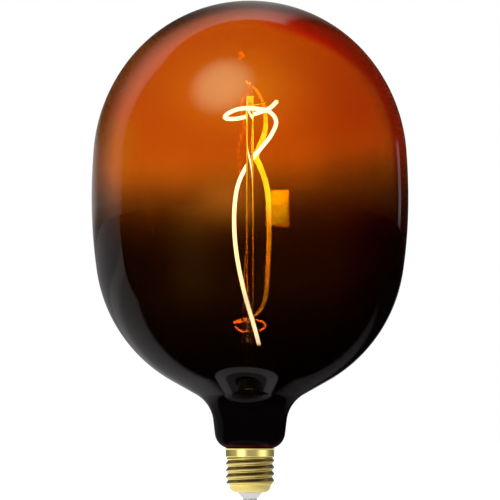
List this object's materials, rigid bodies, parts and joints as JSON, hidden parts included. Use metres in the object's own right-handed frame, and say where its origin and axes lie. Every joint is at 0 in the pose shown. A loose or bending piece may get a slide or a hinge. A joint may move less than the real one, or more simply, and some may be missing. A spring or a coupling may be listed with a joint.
{
  "type": "led globe lamp",
  "caption": "Tall globe lamp in amber-to-black glass with one long looped LED filament on a glass rod, and a brass Edison screw cap.",
  "frame": {"origin": "tip of the centre contact, on the lamp's axis", "axes": "+Z along the lamp's axis, from the screw cap up to the crown of the globe; +X points at the upper end of the filament; the driver's shell wire is at -X"},
  "size_m": [0.175, 0.175, 0.2762],
  "materials": {
    "envelope_glass": "clear blown glass, amber at the crown, fading to opaque black below the middle",
    "stem_glass": "clear lead-free stem glass",
    "lead_metal": "drawn nickel-plated wire",
    "seal_metal": "copper-clad seal wire with a red-brown oxide skin",
    "copper_wire": "bare copper wire",
    "phosphor": "silicone loaded with yellow phosphor, glowing",
    "strip": "white flexible strip",
    "chip": "pale sapphire chips",
    "tab_metal": "tinned steel tab",
    "brass": "bright pressed brass",
    "insulator": "white satin insulator",
    "contact": "dull grey metal",
    "solder": "smooth solder",
    "cement": "dull cement",
    "holder": "matt moulded plastic",
    "board": "green lacquered board",
    "package": "black moulded packages",
    "can": "sleeved aluminium can",
    "ferrite": "dark ferrite with lacquered copper winding",
    "resistor": "lacquered body",
    "live_lead": "tinned copper wire",
    "shell_lead": "tinned copper wire"
  },
  "bodies": {
    "root": {"glass_envelope": "envelope_glass", "stem_flare": "stem_glass", "stem_press": "stem_glass", "exhaust_tube": "stem_glass", "glass_rod": "stem_glass", "long_lead_wire": "lead_metal", "short_lead_wire": "lead_metal", "seal_wires": "seal_metal", "outer_lead_wires": "copper_wire", "support_wire": "lead_metal", "filament_jacket": "phosphor", "filament_strip": "strip", "led_chips": "chip", "upper_end_tab": "tab_metal", "lower_end_tab": "tab_metal", "cap_shell": "brass", "cap_insulator": "insulator", "centre_contact": "contact", "contact_solder": "solder", "cap_cement": "cement", "driver_holder": "holder", "driver_board": "board", "bridge_rectifier": "package", "driver_chip": "package", "smoothing_capacitor": "can", "choke": "ferrite", "fuse_resistor": "resistor", "live_wire": "live_lead", "shell_wire": "shell_lead"}
  },
  "joints": []
}
